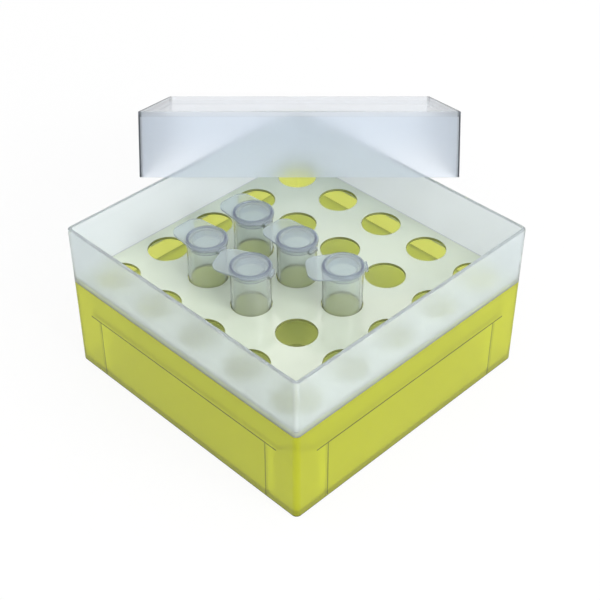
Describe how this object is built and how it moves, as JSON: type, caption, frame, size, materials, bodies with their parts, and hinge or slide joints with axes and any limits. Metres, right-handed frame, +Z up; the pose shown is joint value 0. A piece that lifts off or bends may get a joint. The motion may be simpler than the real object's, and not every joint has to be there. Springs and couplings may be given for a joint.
{
  "type": "cryogenic storage box",
  "caption": "Square plastic freezer box with a grid of tube sockets, open upper frame, lifted-off lid and snap-cap tubes.",
  "frame": {"origin": "middle of the flat underside, on the surface that the box stands on", "axes": "+Z up, out of the tube sockets; X along one side of the box and Y along the next, so the lid leans over the corner between +X and +Y"},
  "size_m": [0.2374, 0.2359, 0.0963],
  "materials": {
    "yellow_plastic": "translucent yellow, finely frosted",
    "frosted_plastic": "natural, translucent, finely frosted",
    "natural_plastic": "natural, milky, smooth",
    "lid_plastic": "natural, clear top and frosted skirt",
    "tube_plastic": "natural, translucent, smooth",
    "cap_plastic": "natural, translucent, smooth"
  },
  "bodies": {
    "box": {"base_tray": "yellow_plastic", "guide_plate": "yellow_plastic", "upper_frame": "frosted_plastic", "divider_plate": "natural_plastic"},
    "lid": {"lid": "lid_plastic"},
    "tube_1": {"tube_1": "tube_plastic"},
    "tube_cap_1": {"tube_cap_1": "cap_plastic"},
    "tube_2": {"tube_2": "tube_plastic"},
    "tube_cap_2": {"tube_cap_2": "cap_plastic"},
    "tube_3": {"tube_3": "tube_plastic"},
    "tube_cap_3": {"tube_cap_3": "cap_plastic"},
    "tube_4": {"tube_4": "tube_plastic"},
    "tube_cap_4": {"tube_cap_4": "cap_plastic"},
    "tube_5": {"tube_5": "tube_plastic"},
    "tube_cap_5": {"tube_cap_5": "cap_plastic"}
  },
  "joints": [
    {"name": "lid_lift", "type": "slide", "parent": "box", "child": "lid", "axis": [0, 0, 1], "range_m": [0, 0.08]},
    {"name": "tube_lift_1", "type": "slide", "parent": "box", "child": "tube_1", "axis": [0, 0, 1], "range_m": [0, 0.07]},
    {"name": "cap_hinge_1", "type": "hinge", "parent": "tube_1", "child": "tube_cap_1", "pos_m": [-0.0264, 0.0164, 0.06425], "axis": [1, 0, 0], "range_deg": [0, 60]},
    {"name": "tube_lift_2", "type": "slide", "parent": "box", "child": "tube_2", "axis": [0, 0, 1], "range_m": [0, 0.07]},
    {"name": "cap_hinge_2", "type": "hinge", "parent": "tube_2", "child": "tube_cap_2", "pos_m": [0, 0.0164, 0.06425], "axis": [1, 0, 0], "range_deg": [0, 60]},
    {"name": "tube_lift_3", "type": "slide", "parent": "box", "child": "tube_3", "axis": [0, 0, 1], "range_m": [0, 0.07]},
    {"name": "cap_hinge_3", "type": "hinge", "parent": "tube_3", "child": "tube_cap_3", "pos_m": [0, -0.01, 0.06425], "axis": [1, 0, 0], "range_deg": [0, 110]},
    {"name": "tube_lift_4", "type": "slide", "parent": "box", "child": "tube_4", "axis": [0, 0, 1], "range_m": [0, 0.07]},
    {"name": "cap_hinge_4", "type": "hinge", "parent": "tube_4", "child": "tube_cap_4", "pos_m": [-0.02265, -0.00927, 0.06425], "axis": [0.9272, 0.3746, 0], "range_deg": [0, 110]},
    {"name": "tube_lift_5", "type": "slide", "parent": "box", "child": "tube_5", "axis": [0, 0, 1], "range_m": [0, 0.07]},
    {"name": "cap_hinge_5", "type": "hinge", "parent": "tube_5", "child": "tube_cap_5", "pos_m": [0.00788, -0.03256, 0.06425], "axis": [0.6157, 0.788, 0], "range_deg": [0, 110]}
  ]
}
